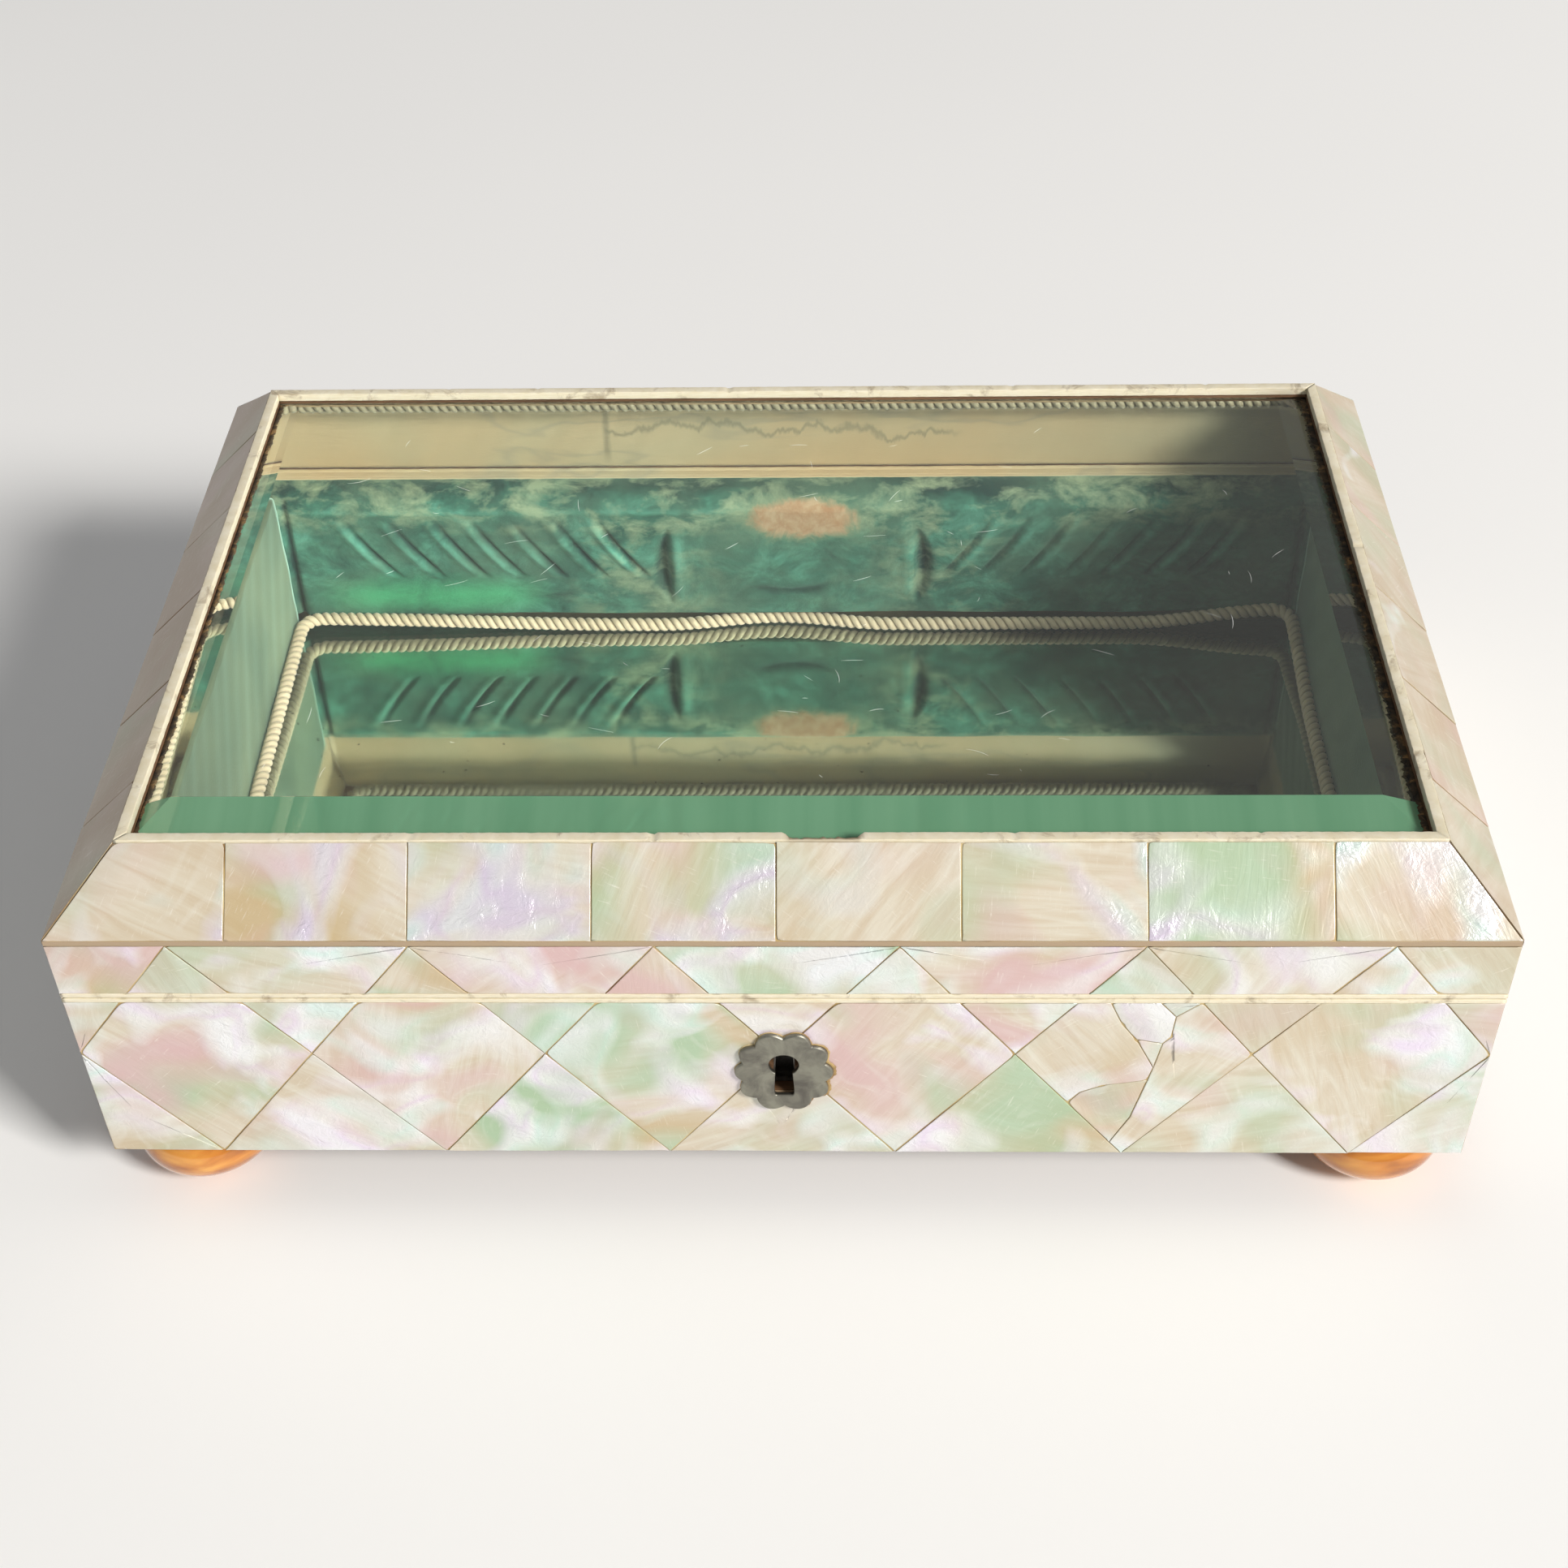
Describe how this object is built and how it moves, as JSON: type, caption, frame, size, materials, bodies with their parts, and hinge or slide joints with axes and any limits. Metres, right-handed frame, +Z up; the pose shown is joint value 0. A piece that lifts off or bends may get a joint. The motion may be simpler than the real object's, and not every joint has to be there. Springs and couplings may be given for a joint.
{
  "type": "display box",
  "caption": "Rectangular casket veneered in pale shell diamonds, with a hinged bevelled-glass lid, padded velvet inside, mirror floor and bun feet.",
  "frame": {"origin": "on the surface that the feet stand on, under the middle of the box's outer rectangle", "axes": "+X along the front towards its right end, +Y from the front to the hinges at the back, +Z up"},
  "size_m": [0.28, 0.1906, 0.0923],
  "materials": {
    "mother_of_pearl": "polished shell with pink, green and silver lights",
    "bone": "worn satin bone",
    "lid_glass": "clear, faintly green, fine scratches",
    "amber_foot": "polished honey amber",
    "wood": "plain sawn wood, waxed underside",
    "green_velvet": "old pile velvet, worn",
    "grey_green_velvet": "short grey-green pile",
    "silk": "water-stained beige silk",
    "twisted_cord": "two-strand twisted cord",
    "floor_mirror": "old mirror",
    "plate_steel": "dull pewter grey with worn light edges",
    "lock_iron": "dark iron",
    "hinge_brass": "dull old brass"
  },
  "bodies": {
    "box": {"body_edge_line": "bone", "bottom_board": "wood", "escutcheon": "plate_steel", "floor_cord": "twisted_cord", "foot_back_left": "amber_foot", "foot_back_right": "amber_foot", "foot_front_left": "amber_foot", "foot_front_right": "amber_foot", "hinge_leaf_body_left": "hinge_brass", "hinge_leaf_body_right": "hinge_brass", "hinge_pin_left": "hinge_brass", "hinge_pin_right": "hinge_brass", "lock_case": "lock_iron", "mirror_floor": "floor_mirror", "pearl_back": "mother_of_pearl", "pearl_front": "mother_of_pearl", "pearl_left": "mother_of_pearl", "pearl_right": "mother_of_pearl", "silk_ledge_back": "silk", "silk_ledge_front": "silk", "velvet_lining_left": "grey_green_velvet", "velvet_lining_right": "grey_green_velvet", "velvet_pad_back": "green_velvet", "velvet_pad_front": "green_velvet", "wall_back": "wood", "wall_front": "wood", "wall_left": "wood", "wall_right": "wood"},
    "lid": {"glass_edge_line": "bone", "glass_pane": "lid_glass", "hinge_leaf_lid_left": "hinge_brass", "hinge_leaf_lid_right": "hinge_brass", "lid_cord": "twisted_cord", "lid_edge_line": "bone", "lid_pearl_rim_back": "mother_of_pearl", "lid_pearl_rim_front": "mother_of_pearl", "lid_pearl_rim_left": "mother_of_pearl", "lid_pearl_rim_right": "mother_of_pearl", "lid_pearl_slope_back": "mother_of_pearl", "lid_pearl_slope_front": "mother_of_pearl", "lid_pearl_slope_left": "mother_of_pearl", "lid_pearl_slope_right": "mother_of_pearl", "lid_rail_back": "wood", "lid_rail_front": "wood", "lid_rail_left": "wood", "lid_rail_right": "wood", "lid_silk_back": "silk", "lid_silk_front": "silk", "lid_silk_left": "silk", "lid_silk_right": "silk", "lock_strike": "lock_iron"}
  },
  "joints": [
    {"name": "lid_hinge", "type": "hinge", "parent": "box", "child": "lid", "pos_m": [0, 0.0949, 0.06265], "axis": [-1, 0, 0], "range_deg": [0, 100]}
  ]
}
